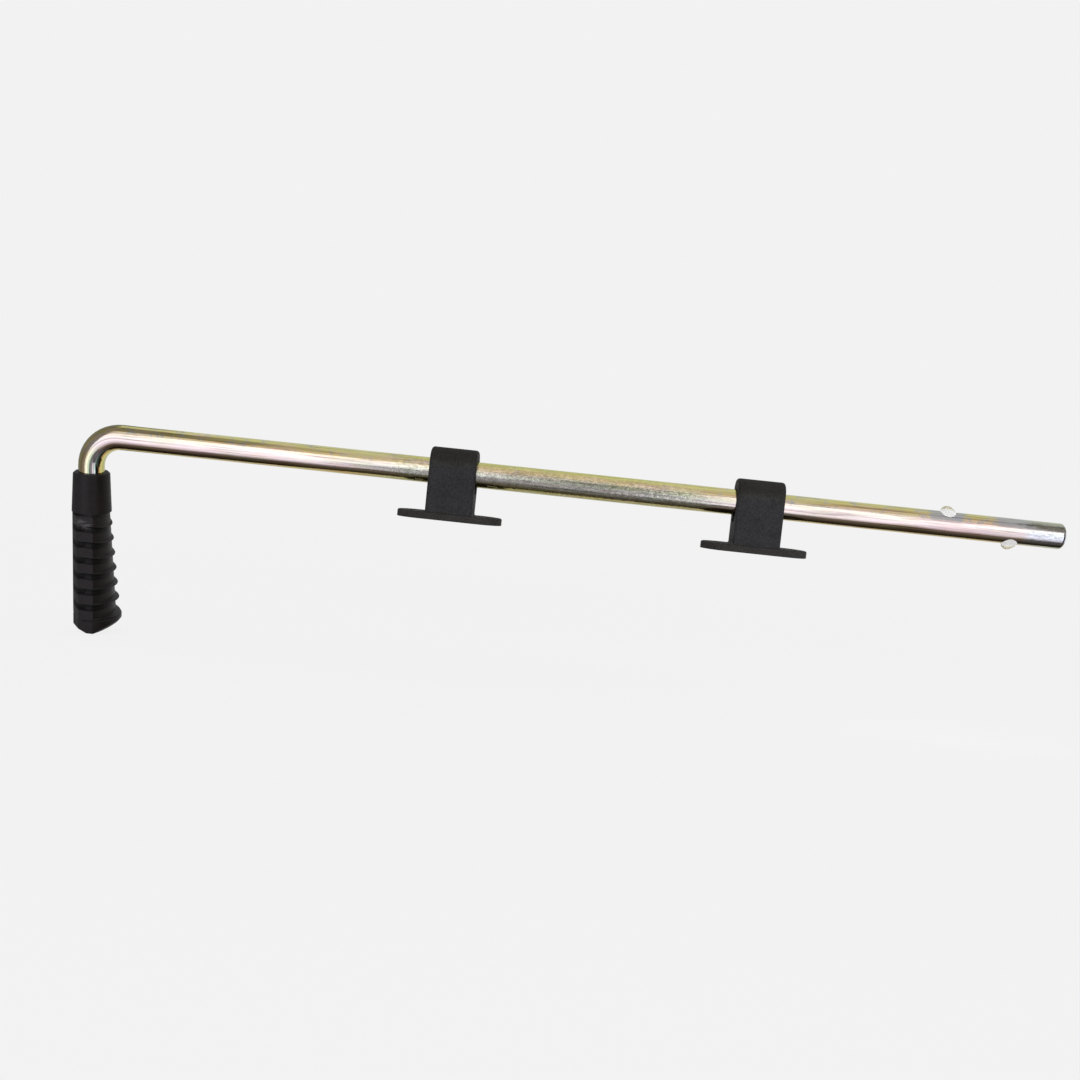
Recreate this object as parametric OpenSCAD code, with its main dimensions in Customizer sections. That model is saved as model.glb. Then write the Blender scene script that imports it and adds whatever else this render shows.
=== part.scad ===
// Floor bolt: a cranked round bar that slides in two moulded guides.
// X runs along the bar towards its tip and +Z points away from the mounting face.
// The origin is the middle of the upper guide's mounting face.

/* [Bar] */
// Diameter of the round bar
rod_d = 16; // [13:0.5:20]
// Length over all, from the back of the handle leg to the tip
overall_l = 615; // [520:5:900]
// Radius of the bend, to the middle of the bar
bend_r = 20; // [17:1:40]
// How far the leg reaches into the grip
leg_in_grip = 88; // [60:1:94]
// How far the handle is turned about the bar from the direction that the guides face
handle_roll = 12; // [-45:1:45]
// Rounding round the edge of the tip
tip_round = 2.5; // [0.5:0.25:5]

/* [Lugs] */
// Diameter of the two lugs
lug_d = 9.5; // [6:0.5:12]
// How far a lug's crest stands out of the bar
lug_h = 2.5; // [1.5:0.25:5]
// Depth of the blind hole that each lug sits in
lug_seat = 5; // [3:0.25:6]
// Thickness of the crest behind a lug's flat face
lug_crest = 0.75; // [0.4:0.05:1.5]
// How much larger than the lug's radius the arch of its crest is
lug_arch = 1.15; // [0.5:0.05:4]
// How much larger than the lug's radius the tool is that cuts its flat face
lug_cut = 0.45; // [0.2:0.05:2]
// Lean of a lug's flat face towards the side of the bar between the lugs
lug_lean = 16; // [0:1:30]
// Distance from the tip to the middle of the stop lug
lug_from_tip = 32.5; // [20:0.5:60]
// Angle of the stop lug round the bar, counted from the handle
lug_angle = 28; // [15:1:80]
// Angle between the two lugs round the bar
lug_split = 146; // [60:1:170]
// Free play of a guide that is caught between the two lugs
hold_play = 0.5; // [0.2:0.1:3]

/* [Guides] */
// Distance from the handle leg to the middle of the upper guide, with the bolt at rest
guide_at = 230; // [160:5:260]
// Distance between the middles of the two guides
guide_pitch = 190; // [120:5:260]
// Length of a guide's body along the bar
guide_l = 29; // [22:0.5:36]
// Height of the bar's axis over the mounting face
axis_h = 30; // [26:0.5:40]
// Thickness of the body beside the bar
side_wall = 4.45; // [3:0.05:8]
// Thickness of the body over the bar
top_wall = 7; // [4:0.25:10]
// Radius of the body's two shoulders
shoulder_r = 9; // [5:0.25:11]
// Rounding of the body's other edges
edge_r = 2; // [0.5:0.1:2.5]
// Running clearance all round the bar
run_clear = 0.05; // [0.02:0.01:0.1]
// Chamfer round each mouth of the bore
mouth_chamfer = 0.8; // [0.2:0.1:1.5]
// Clearance on each side of a lug in the keyhole slot
slot_clear = 0.5; // [0.3:0.1:1]
// Depth of the keyhole slot below the bar
slot_depth = 4; // [3:0.25:6]
// Thickness of the floor between the slot and the hollow underside
slot_floor = 3; // [2:0.25:5]
// Wall round the hollow underside
core_wall = 3; // [2:0.25:4]
// Thickness of the rib across the hollow underside
core_rib = 3; // [2:0.25:5]
// Corner radius inside the hollow underside
core_r = 1.5; // [0.5:0.25:3]

/* [Flanges] */
// Length of a flange along the bar
flange_l = 65.5; // [58:0.5:80]
// Thickness of a flange
flange_t = 4.4; // [3:0.2:6]
// How far a flange stands out in front of the body's side walls
flange_proud = 1.5; // [0.5:0.25:4]
// Rounding along a flange's upper edge
flange_round = 1; // [0.4:0.1:2]
// Hollow fillet between the body and its flange
base_fillet = 1; // [0.5:0.25:2.5]
// Diameter of the screw holes
screw_d = 6.5; // [4:0.25:7]
// Distance between a guide's two screw holes
screw_pitch = 48; // [44:0.5:60]
// Chamfer round a screw hole's upper edge
screw_chamfer = 0.6; // [0.2:0.1:1]

/* [Grip] */
// Gap between the end of the bend and the top of the grip
grip_gap = 4; // [1:0.5:20]
// Length of the grip
grip_l = 103; // [98:1:140]
// Length of the plain sleeve at the top of the grip
sleeve_l = 25.5; // [15:0.5:28]
// Wall of the sleeve at its top
sleeve_wall = 3.2; // [1.5:0.1:5]
// Wall of the sleeve where the ribs start
sleeve_end_wall = 4.1; // [2:0.1:6]
// Clearance between the leg and the grip's bore
grip_clear = 0.02; // [0.01:0.01:0.1]
// Height of the plain skirt at the end of the grip
skirt_h = 8; // [5:0.2:12]
// Rounding round the end of the grip
skirt_round = 1.2; // [0.5:0.1:2]
// Height of the bevel at the finger side of the grip's end
bevel_h = 5.7; // [2:0.1:7]
// How far the bevel takes the finger side in
bevel_in = 6.5; // [1:0.1:7]
// Wall behind the leg, along the grip's spine
spine_wall = 3.2; // [2.5:0.1:6]
// How far the spine bulges between its two edges
spine_bulge = 0.7; // [0.2:0.1:2]
// Half the width of the spine
spine_half = 3.6; // [2:0.2:5]

/* [Ribs] */
// Number of ribs between the sleeve and the skirt
rib_count = 7; // [4:1:8]
// Height of a rib's flat face
rib_face = 5.9; // [3:0.1:6.5]
// Gap between the sleeve or the skirt and the rib beside it
rib_lead = 1.2; // [1:0.1:3]
// Height of the slope between a rib's face and the groove
rib_slope = 0.9; // [0.3:0.1:0.9]
// Height over which a rib's finger side rises to its lip
rib_lip = 1; // [0.5:0.1:2.5]
// How much lower the top rib lies at the finger side than at its flat face
rib_dip = 2; // [0:0.25:3]
// Depth of the crease between the last rib and the skirt
rib_crease = 0.8; // [0.3:0.1:1.5]
// Depth of a rib's flat face in front of the leg, at the sleeve
face_top = 4.5; // [3.5:0.1:8]
// Depth of a rib's flat face in front of the leg, at the end
face_end = 10; // [6:0.1:14]
// Reach of a rib's lip past the leg on the finger side, at the sleeve
lip_top = 3.6; // [3:0.1:8]
// Reach of a rib's lip past the leg on the finger side, at the end
lip_end = 10; // [6:0.1:14]
// Depth of a groove in front of the leg, at the sleeve
groove_top = 3.4; // [3:0.1:6]
// Depth of a groove in front of the leg, at the end
groove_end = 8.3; // [4:0.1:12]
// Reach of a groove past the leg on the finger side, at the sleeve
root_top = 2.3; // [2:0.1:5]
// Reach of a groove past the leg on the finger side, at the end
root_end = 6; // [4:0.1:10]

/* [Hidden] */
$fn = 64;
eps = 0.01;

// The bar: the leg's axis is at leg_x, and the leg runs down from the bar's axis.
rod_r = rod_d / 2;
leg_x = -guide_at;
reach = overall_l - rod_r;
grip_top = bend_r + grip_gap;
leg_end = grip_top + leg_in_grip;
bore_end = leg_end + grip_clear;

// The lugs: the guide fits between them.
lug_r = lug_d / 2;
lug_fit = 0.02;
stop_lug_at = reach - lug_from_tip;
hold_lug_at = stop_lug_at - lug_d - guide_l - hold_play;

// The guides' sizes follow from the bar and the walls round it.
bore_r = rod_r + run_clear;
guide_w = 2 * (bore_r + side_wall);
guide_h = axis_h + bore_r + top_wall;
shoulder_z = guide_h - shoulder_r;
slot_w = lug_d + 2 * slot_clear;
slot_z = axis_h - rod_r - slot_depth;
core_h = slot_z - slot_floor;
flange_w = guide_w + 2 * flange_proud;
flange_end_r = flange_w / 2;
flange_end_x = flange_l / 2 - flange_end_r;

// Sections of the ribbed part, as reaches from the leg's axis: x is the finger side
// and y is half the depth across the handle. Each pair is at the sleeve and at the end.
face_y = [rod_r + face_top, rod_r + face_end];
face_x0 = [-5, -1.1];
face_x1 = [5.8, 7.9];
lip_tip = [rod_r + lip_top, rod_r + lip_end];
groove_y = [rod_r + groove_top, rod_r + groove_end];
groove_x0 = [0.1, 2.4];
groove_x1 = [4.6, 6.2];
groove_tip = [rod_r + root_top, rod_r + root_end];
skirt_x0 = 3;
skirt_x1 = 7.4;
rib_belly = 0.4;
skirt_belly = 1;
corner_cut = 0.35;
arc_steps = 10;

function mix(pair, t) = pair[0] + (pair[1] - pair[0]) * t;

// Half a section, from the middle of the spine round the flat face to the finger side.
// back is the spine's reach, belly the bulge of the side between the spine and the flat face,
// x0 and x1 are the flat face's ends, y its depth and tip the finger side's reach.
function half_section(back, belly, x0, x1, y, tip) =
    let (
        sag = tip - x1,
        arc_r = (y * y + sag * sag) / (2 * sag),
        arc_x = tip - arc_r,
        arc_a = atan2(y, x1 - arc_x),
        run = [x0 + back, y - spine_half],
        along = run / norm(run),
        step = along * corner_cut
    )
    concat(
        [for (i = [0 : 2])
            let (s = i / 3) [-back - spine_bulge * (1 - s * s), spine_half * s]],
        [[-back, spine_half]],
        [[-back, spine_half] + run / 2 + belly * [-along[1], along[0]]],
        [[x0, y] - step, [x0 + corner_cut, y]],
        [[x1 - corner_cut / 2, y]],
        [for (i = [0 : arc_steps])
            let (a = arc_a * (1 - i / arc_steps)) [arc_x + arc_r * cos(a), arc_r * sin(a)]]
    );

// A whole section: the half on the viewer's side, then its mirror image.
function whole_section(half) =
    concat(half, [for (i = [len(half) - 2 : -1 : 1]) [half[i][0], -half[i][1]]]);

// Share of the ribbed part's length at height z below the top of the grip.
function share(z) = (z - sleeve_l) / (grip_l - sleeve_l);

// Sections at height z: a rib's face with its finger side at the given reach, and a groove.
back_x = rod_r + spine_wall;
function rib_half(z, tip) =
    let (t = share(z))
    half_section(back_x, rib_belly, mix(face_x0, t), mix(face_x1, t), mix(face_y, t), mix(tip, t));
function groove_half(z) =
    let (t = share(z))
    half_section(
        back_x,
        rib_belly,
        mix(groove_x0, t),
        mix(groove_x1, t),
        mix(groove_y, t),
        mix(groove_tip, t)
    );

// The skirt's section, drawn in all round by inset and at the finger side by tip_in.
function skirt_half(inset, tip_in) =
    half_section(back_x - inset, skirt_belly, skirt_x0, skirt_x1, rod_r + face_end - inset,
        rod_r + lip_end - tip_in);

// Sets a flat section at height z and lowers its finger side by dip.
function ring(half, z, dip) =
    let (
        points = whole_section(half),
        depth = max([for (p = points) p[1]]),
        x1 = max([for (p = points) if (p[1] == depth) p[0]]),
        tip = max([for (p = points) p[0]])
    )
    [for (p = points) [p[0], p[1], z + dip * max(0, (p[0] - x1) / (tip - x1))]];

// The ribs' dip fades along the grip, so that the last rib lies level with the skirt.
function rib_ring(half, z) = ring(half, z, rib_dip * (1 - share(z)));

// Round end of the skirt at angle a: its finger side is bevelled higher up than its front.
function end_ring(a) =
    let (
        inset = skirt_round * (1 - cos(a)),
        left = 1 - sin(a)
    )
    ring(skirt_half(inset, bevel_in * pow(sin(a), 1.5)), grip_l - skirt_round * left,
        (skirt_round - bevel_h) * left);

// Rings of the whole ribbed part, from inside the sleeve to the end of the skirt.
skirt_z = grip_l - skirt_h;
rib_pitch = (skirt_z - sleeve_l - 2 * rib_lead - rib_face) / (rib_count - 1);
neck = 2;
grip_rings = concat(
    [ring(groove_half(sleeve_l - neck), sleeve_l - neck, 0)],
    [for (i = [0 : rib_count - 1])
        let (z = sleeve_l + rib_lead + rib_pitch * i, low = z + rib_face)
        each [
            rib_ring(groove_half(z - rib_slope), z - rib_slope),
            rib_ring(rib_half(z, groove_tip), z),
            rib_ring(rib_half(low - rib_lip, groove_tip), low - rib_lip),
            rib_ring(rib_half(low, lip_tip), low),
            if (i < rib_count - 1) rib_ring(groove_half(low + rib_slope), low + rib_slope)
        ]],
    [rib_ring(skirt_half(rib_crease, rib_crease), skirt_z - rib_lead / 2)],
    [rib_ring(skirt_half(0, 0), skirt_z)],
    [for (a = [0 : 22.5 : 90]) end_ring(a)]
);

// Skins a list of rings that have the same number of points, and closes both ends.
module skin(rings) {
    n = len(rings[0]);
    last = (len(rings) - 1) * n;
    polyhedron(
        points = [for (r = rings) each r],
        faces = concat(
            [[for (i = [n - 1 : -1 : 0]) i]],
            [[for (i = [0 : n - 1]) last + i]],
            [for (k = [0 : len(rings) - 2]) for (i = [0 : n - 1])
                let (a = k * n + i, b = k * n + (i + 1) % n)
                each [[a, b, a + n], [b, b + n, a + n]]]
        )
    );
}

// Puts the leg's frame in place: its +Z runs down the leg and its +Y faces the front.
module at_leg() {
    translate([leg_x, 0, axis_h]) rotate([180 + handle_roll, 0, 0]) children();
}

// Puts a lug's frame in place: its origin is on the bar's axis and its +Z points outwards.
module at_lug(along, angle) {
    at_leg() translate([along, 0, 0]) rotate([-angle, 0, 0]) children();
}

// Bar

module bar_end() {
    rotate([0, 90, 0]) rotate_extrude() {
        square([rod_r - tip_round, tip_round]);
        intersection() {
            translate([rod_r - tip_round, 0]) circle(tip_round);
            square([rod_r, tip_round]);
        }
    }
}

module bar() {
    translate([bend_r, 0, 0]) rotate([0, 90, 0]) cylinder(r = rod_r, h = reach - tip_round - bend_r);
    translate([reach - tip_round, 0, 0]) bar_end();
    translate([bend_r, 0, bend_r])
        rotate([90, 0, 0]) rotate([0, 0, 180])
        rotate_extrude(angle = 90) translate([bend_r, 0]) circle(rod_r);
    translate([0, 0, bend_r]) cylinder(r = rod_r, h = leg_end - bend_r);
}

module lug_hole(along, angle) {
    at_lug(along, angle)
        translate([0, 0, rod_r - lug_seat]) cylinder(r = lug_r + lug_fit, h = lug_seat + rod_r);
}

module bolt_rod() {
    color("darkkhaki") difference() {
        at_leg() bar();
        lug_hole(hold_lug_at, lug_angle + lug_split);
        lug_hole(stop_lug_at, lug_angle);
    }
}

// Outline that a lug's crest is arched to, as seen along its flat face.
module crest_outline() {
    arch_r = lug_r + lug_arch;
    arch_z = rod_r + lug_h - arch_r;
    translate([0, arch_z]) circle(arch_r);
    translate([-arch_r, 0]) square([2 * arch_r, arch_z]);
}

// A lug: its flat face starts flush with the bar on the side given by front and leans to it,
// and its crest stands up behind the face.
module lug(along, angle, front) {
    cut_r = lug_r + lug_cut;
    at_lug(along, angle) difference() {
        intersection() {
            translate([0, 0, rod_r - lug_seat]) cylinder(r = lug_r, h = lug_seat + 2 * lug_h);
            rotate([90, 0, 0]) linear_extrude(2 * lug_d, center = true) crest_outline();
        }
        translate([0, 0, rod_r]) rotate([-front * lug_lean, 0, 0])
            translate([0, front * (cut_r - lug_r + lug_crest), 0]) cylinder(r = cut_r, h = lug_d);
    }
}

module hold_lug() {
    color("silver") lug(hold_lug_at, lug_angle + lug_split, -1);
}

module stop_lug() {
    color("silver") lug(stop_lug_at, lug_angle, 1);
}

// Grip

module sleeve() {
    top_r = rod_r + sleeve_wall;
    rim = sleeve_wall / 3;
    translate([0, 0, rim]) cylinder(r1 = top_r, r2 = rod_r + sleeve_end_wall, h = sleeve_l - rim);
    cylinder(r1 = top_r - rim, r2 = top_r, h = rim);
}

module handle_grip() {
    color("dimgray") at_leg() translate([0, 0, grip_top]) difference() {
        union() {
            sleeve();
            skin(grip_rings);
        }
        translate([0, 0, -eps]) cylinder(r = rod_r + grip_clear, h = bore_end - grip_top + eps);
    }
}

// Guides

// Outline of the body seen along the bar, drawn in from its sides and top by inset.
module arch_outline(inset) {
    half_w = guide_w / 2 - inset;
    r = shoulder_r - inset;
    translate([-half_w, 0]) square([2 * half_w, shoulder_z]);
    translate([r - half_w, 0]) square([2 * (half_w - r), shoulder_z + r]);
    for (side = [-1, 1])
        translate([side * (half_w - r), shoulder_z]) circle(r);
}

module along_bar(length) {
    translate([-length / 2, 0, 0]) rotate([90, 0, 90]) linear_extrude(length) children();
}

// Round edge that runs up one end face, over both shoulders and down again.
module arch_edge() {
    side_y = guide_w / 2 - edge_r;
    turn_y = guide_w / 2 - shoulder_r;
    for (side = [-1, 1]) {
        translate([0, side * side_y, 0]) cylinder(r = edge_r, h = shoulder_z);
        translate([0, side * turn_y, shoulder_z])
            rotate([90, 0, side * 90])
            rotate_extrude(angle = 90) translate([shoulder_r - edge_r, 0]) circle(edge_r);
    }
    translate([0, turn_y, guide_h - edge_r]) rotate([90, 0, 0]) cylinder(r = edge_r, h = 2 * turn_y);
}

module arch_body() {
    along_bar(guide_l) arch_outline(edge_r);
    along_bar(guide_l - 2 * edge_r) arch_outline(0);
    for (end = [-1, 1])
        translate([end * (guide_l / 2 - edge_r), 0, 0]) arch_edge();
}

// Hollow corner between the body's foot and the flange, as seen in section.
module fillet_outline() {
    difference() {
        translate([-eps, -eps]) square(base_fillet + eps);
        translate([base_fillet, base_fillet]) circle(base_fillet);
    }
}

module foot_fillet() {
    half_l = guide_l / 2;
    half_w = guide_w / 2;
    translate([0, 0, flange_t]) for (end = [0, 180]) rotate([0, 0, end]) {
        translate([half_l, half_w - edge_r, 0])
            rotate([90, 0, 0]) linear_extrude(guide_w - 2 * edge_r) fillet_outline();
        translate([edge_r - half_l, half_w, 0])
            rotate([90, 0, 90]) linear_extrude(guide_l - 2 * edge_r) fillet_outline();
        for (side = [0, 1]) mirror([0, side, 0])
            translate([half_l - edge_r, half_w - edge_r, 0])
            rotate_extrude(angle = 90) translate([edge_r, 0]) fillet_outline();
    }
}

// A plate with round ends: half its length between the ends' centres, its end radius and height.
module round_plate(centre_x, r, h) {
    translate([-centre_x, -r, 0]) cube([2 * centre_x, 2 * r, h]);
    for (end = [-1, 1])
        translate([end * centre_x, 0, 0]) cylinder(r = r, h = h);
}

module flange() {
    round_plate(flange_end_x, flange_end_r, flange_t - flange_round);
    round_plate(flange_end_x, flange_end_r - flange_round, flange_t);
    translate([0, 0, flange_t - flange_round]) {
        for (side = [-1, 1])
            translate([-flange_end_x, side * (flange_end_r - flange_round), 0])
            rotate([0, 90, 0]) cylinder(r = flange_round, h = 2 * flange_end_x);
        for (end = [0, 180])
            rotate([0, 0, end]) translate([flange_end_x, 0, 0]) rotate([0, 0, -90])
            rotate_extrude(angle = 180)
                translate([flange_end_r - flange_round, 0])
                circle(flange_round);
    }
}

module keyhole() {
    translate([-guide_l, 0, axis_h]) rotate([0, 90, 0]) cylinder(r = bore_r, h = 2 * guide_l);
    translate([-guide_l, -slot_w / 2, slot_z]) cube([2 * guide_l, slot_w, axis_h - slot_z]);
    for (end = [0, 180])
        rotate([0, 0, end]) translate([guide_l / 2 - mouth_chamfer, 0, axis_h]) rotate([0, 90, 0])
            cylinder(r1 = bore_r, r2 = bore_r + 2 * mouth_chamfer, h = 2 * mouth_chamfer);
}

// One of the two pockets that lighten the underside.
module core_pocket() {
    pocket_l = guide_l / 2 - core_wall - core_rib / 2;
    pocket_w = guide_w - 2 * core_wall;
    translate([core_rib / 2, -pocket_w / 2, -eps]) {
        translate([core_r, 0, 0]) cube([pocket_l - 2 * core_r, pocket_w, core_h + eps]);
        translate([0, core_r, 0]) cube([pocket_l, pocket_w - 2 * core_r, core_h + eps]);
        for (x = [core_r, pocket_l - core_r], y = [core_r, pocket_w - core_r])
            translate([x, y, 0]) cylinder(r = core_r, h = core_h + eps);
    }
}

module screw_hole() {
    translate([screw_pitch / 2, 0, 0]) {
        translate([0, 0, -eps]) cylinder(d = screw_d, h = flange_t + 2 * eps);
        translate([0, 0, flange_t - screw_chamfer])
            cylinder(d1 = screw_d, d2 = screw_d + 4 * screw_chamfer, h = 2 * screw_chamfer);
    }
}

module guide() {
    difference() {
        union() {
            arch_body();
            flange();
            foot_fillet();
        }
        keyhole();
        for (end = [0, 180]) rotate([0, 0, end]) {
            core_pocket();
            screw_hole();
        }
    }
}

module upper_guide() {
    color("darkslategray") guide();
}

module lower_guide() {
    color("darkslategray") translate([guide_pitch, 0, 0]) guide();
}

bolt_rod();
hold_lug();
stop_lug();
handle_grip();
upper_guide();
lower_guide();
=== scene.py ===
import math

import bpy
from mathutils import Matrix, Vector


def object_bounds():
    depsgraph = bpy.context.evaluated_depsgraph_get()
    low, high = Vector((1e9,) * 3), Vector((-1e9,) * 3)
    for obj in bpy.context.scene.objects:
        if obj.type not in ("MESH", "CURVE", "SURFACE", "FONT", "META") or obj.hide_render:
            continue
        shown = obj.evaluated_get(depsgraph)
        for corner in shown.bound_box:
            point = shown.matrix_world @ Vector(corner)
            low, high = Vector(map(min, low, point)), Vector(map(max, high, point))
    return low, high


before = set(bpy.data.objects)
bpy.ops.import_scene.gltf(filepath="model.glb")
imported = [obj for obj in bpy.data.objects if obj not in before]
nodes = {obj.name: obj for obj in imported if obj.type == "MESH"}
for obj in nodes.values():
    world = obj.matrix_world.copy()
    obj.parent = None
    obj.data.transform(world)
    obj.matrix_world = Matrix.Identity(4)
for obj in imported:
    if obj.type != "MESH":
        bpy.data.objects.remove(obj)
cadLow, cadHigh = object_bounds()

print("frame loaded:", ", ".join(sorted(nodes)))

# Camera

cameraView = {
    "place": (0.0796, -0.7473, 0.0392),
    "aim": (0.0578, 0.0, -0.0062),
    "roll": 6.0,  # degrees, the bar runs down to the right
    "lens": 40.0,
    "sensor": 36.0,
    "clip": (0.01, 60.0),
}


def makeCamera(settings):
    camera = bpy.data.objects.new("boltCamera", bpy.data.cameras.new("boltCamera"))
    bpy.context.scene.collection.objects.link(camera)
    camera.data.lens = settings["lens"]
    camera.data.sensor_width = settings["sensor"]
    camera.data.clip_start, camera.data.clip_end = settings["clip"]
    gaze = Vector(settings["aim"]) - Vector(settings["place"])
    roll = Matrix.Rotation(math.radians(settings["roll"]), 3, "Z")
    camera.rotation_mode = "QUATERNION"
    camera.rotation_quaternion = (gaze.to_track_quat("-Z", "Y").to_matrix() @ roll).to_quaternion()
    camera.location = settings["place"]
    bpy.context.scene.camera = camera


makeCamera(cameraView)
print("camera ready")

# Node helpers


def feed(tree, socket, value):
    # a plain value is set on the socket, anything else is linked to it
    if isinstance(value, (int, float, tuple)):
        socket.default_value = value
    else:
        tree.links.new(value, socket)


def mathNode(tree, operation, *values, clamp=False):
    node = tree.nodes.new("ShaderNodeMath")
    node.operation = operation
    node.use_clamp = clamp
    for socket, value in zip(node.inputs, values):
        feed(tree, socket, value)
    return node.outputs[0]


def plus(tree, first, second, clamp=False):
    return mathNode(tree, "ADD", first, second, clamp=clamp)


def minus(tree, first, second, clamp=False):
    return mathNode(tree, "SUBTRACT", first, second, clamp=clamp)


def times(tree, first, second, clamp=False):
    return mathNode(tree, "MULTIPLY", first, second, clamp=clamp)


def shareOf(tree, first, second, clamp=False):
    return mathNode(tree, "DIVIDE", first, second, clamp=clamp)


def slope(tree, value, steepness, offset, clamp=False):
    # a straight line through the value; settings that end in Slope hold both numbers
    return mathNode(tree, "MULTIPLY_ADD", value, steepness, offset, clamp=clamp)


def stepAt(tree, value, place, steepness):
    # 0 up to the given place, then rising to 1
    return times(tree, minus(tree, value, place), steepness, clamp=True)


def swing(tree, noise, size):
    # a noise about its middle, 0.5, so that it goes both ways
    return times(tree, minus(tree, noise, 0.5), size)


def nearMask(tree, value, middle, reach):
    # 1 at the middle, falling to 0 at the given reach
    distance = mathNode(tree, "ABSOLUTE", minus(tree, value, middle))
    return minus(tree, 1.0, shareOf(tree, distance, reach), clamp=True)


def grey(value):
    return (value, value, value, 1)


def greyStops(levels):
    return [(at, grey(value)) for at, value in levels]


def rampNode(tree, source, stops):
    node = tree.nodes.new("ShaderNodeValToRGB")
    elements = node.color_ramp.elements
    elements.remove(elements[-1])
    elements[0].position, elements[0].color = stops[0]
    for position, colour in stops[1:]:
        elements.new(position).color = colour
    tree.links.new(source, node.inputs["Fac"])
    return node.outputs["Color"]


def fadeIn(tree, source, edge):
    return rampNode(tree, source, greyStops(zip(edge, (0, 1))))


def mixColour(tree, share, first, second, blend="MIX"):
    node = tree.nodes.new("ShaderNodeMix")
    node.data_type = "RGBA"
    node.blend_type = blend
    for index, value in ((0, share), (6, first), (7, second)):  # factor, A and B of a colour mix
        feed(tree, node.inputs[index], value)
    return node.outputs[2]


def tint(tree, share, colour, tone):
    return mixColour(tree, share, colour, tone, "MULTIPLY")


def noiseNode(tree, vector, scale, detail, roughness):
    node = tree.nodes.new("ShaderNodeTexNoise")
    feed(tree, node.inputs["Scale"], scale)
    node.inputs["Detail"].default_value = detail
    node.inputs["Roughness"].default_value = roughness
    tree.links.new(vector, node.inputs["Vector"])
    return node.outputs["Fac"]


def scaledVector(tree, vector, scale, shift=(0, 0, 0), turn=(0, 0, 0)):
    node = tree.nodes.new("ShaderNodeMapping")
    node.inputs["Scale"].default_value = scale
    node.inputs["Location"].default_value = shift
    node.inputs["Rotation"].default_value = turn
    tree.links.new(vector, node.inputs["Vector"])
    return node.outputs["Vector"]


def coordinate(tree, kind):
    return tree.nodes.new("ShaderNodeTexCoord").outputs[kind]


def splitVector(tree, vector):
    node = tree.nodes.new("ShaderNodeSeparateXYZ")
    tree.links.new(vector, node.inputs[0])
    return node.outputs


def addBump(tree, shader, height, strength, distance):
    bump = tree.nodes.new("ShaderNodeBump")
    bump.inputs["Strength"].default_value = strength
    bump.inputs["Distance"].default_value = distance
    tree.links.new(height, bump.inputs["Height"])
    tree.links.new(bump.outputs[0], shader.inputs["Normal"])


def newMaterial(name):
    material = bpy.data.materials.new(name)
    material.use_nodes = True
    tree = material.node_tree
    return material, tree, tree.nodes["Principled BSDF"]


def dress(names, material):
    for name in names:
        slots = nodes[name].data.materials
        slots.clear()
        slots.append(material)


# Shared effects


def newGroup(name, inputs, outputs):
    group = bpy.data.node_groups.new(name, "ShaderNodeTree")
    for socketName, kind, value in inputs:
        socket = group.interface.new_socket(name=socketName, in_out="INPUT", socket_type=kind)
        socket.default_value = value
    for socketName, kind in outputs:
        group.interface.new_socket(name=socketName, in_out="OUTPUT", socket_type=kind)
    given = group.nodes.new("NodeGroupInput").outputs
    made = group.nodes.new("NodeGroupOutput").inputs
    return group, given, made


def useGroup(tree, group, **values):
    node = tree.nodes.new("ShaderNodeGroup")
    node.node_tree = group
    for name, value in values.items():
        feed(tree, node.inputs[name.replace("_", " ")], value)
    return node.outputs


mouldGrain = {
    "fine": (3.0, 0.6),  # noise detail and roughness
    "broad": (70.0, 3.0, 0.6),  # noise scale, detail and roughness
    "mottle": 0.9,  # how far the broad noise shifts the colour
    "paleShare": 0.35,  # of the pale colour where both noises are at their middle
    "glossSwing": 0.25,  # how far the broad noise shifts the roughness
}


def makeGrainGroup(look):
    # spark-eroded mould grain: fine pits on broad, faint mottling
    group, given, made = newGroup("mouldGrain", [
        ("Colour", "NodeSocketColor", (0.02, 0.02, 0.02, 1)),
        ("Pale Colour", "NodeSocketColor", (0.05, 0.05, 0.05, 1)),
        ("Grain Size", "NodeSocketFloat", 900.0),
        ("Grain Contrast", "NodeSocketFloat", 0.5),
        ("Roughness", "NodeSocketFloat", 0.5),
    ], [
        ("Colour", "NodeSocketColor"),
        ("Roughness", "NodeSocketFloat"),
        ("Height", "NodeSocketFloat"),
    ])
    place = coordinate(group, "Object")
    fine = noiseNode(group, place, given["Grain Size"], *look["fine"])
    broad = noiseNode(group, place, *look["broad"])
    pits = plus(group, swing(group, fine, given["Grain Contrast"]), swing(group, broad, look["mottle"]))
    share = plus(group, pits, look["paleShare"], clamp=True)
    feed(group, made["Colour"], mixColour(group, share, given["Colour"], given["Pale Colour"]))
    gloss = swing(group, broad, look["glossSwing"])
    feed(group, made["Roughness"], plus(group, given["Roughness"], gloss, clamp=True))
    feed(group, made["Height"], fine)
    return group


handlingScuffs = {
    "stretch": (1.0, 3.0, 5.0),
    "turn": (0.4, 0.7, 0.2),
    "marks": (6.0, 0.7),  # noise detail and roughness
    "edge": (0.58, 0.78),
}


def makeScuffGroup(look):
    # short rubbed marks and settled dust, as a mask from 0 to 1
    group, given, made = newGroup("handlingScuffs", [
        ("Amount", "NodeSocketFloat", 0.3),
        ("Mark Size", "NodeSocketFloat", 60.0),
    ], [("Mask", "NodeSocketFloat")])
    turned = scaledVector(group, coordinate(group, "Object"), look["stretch"], turn=look["turn"])
    marks = noiseNode(group, turned, given["Mark Size"], *look["marks"])
    thin = fadeIn(group, marks, look["edge"])
    feed(group, made["Mask"], times(group, thin, given["Amount"], clamp=True))
    return group


grainGroup = makeGrainGroup(mouldGrain)
scuffGroup = makeScuffGroup(handlingScuffs)
print("shared effects ready")

# The leg's frame, from the part: x runs to the tip, y to the front, z down the leg

legFrame = {"legX": -0.230, "axisZ": 0.030, "roll": 12.0}


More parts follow.
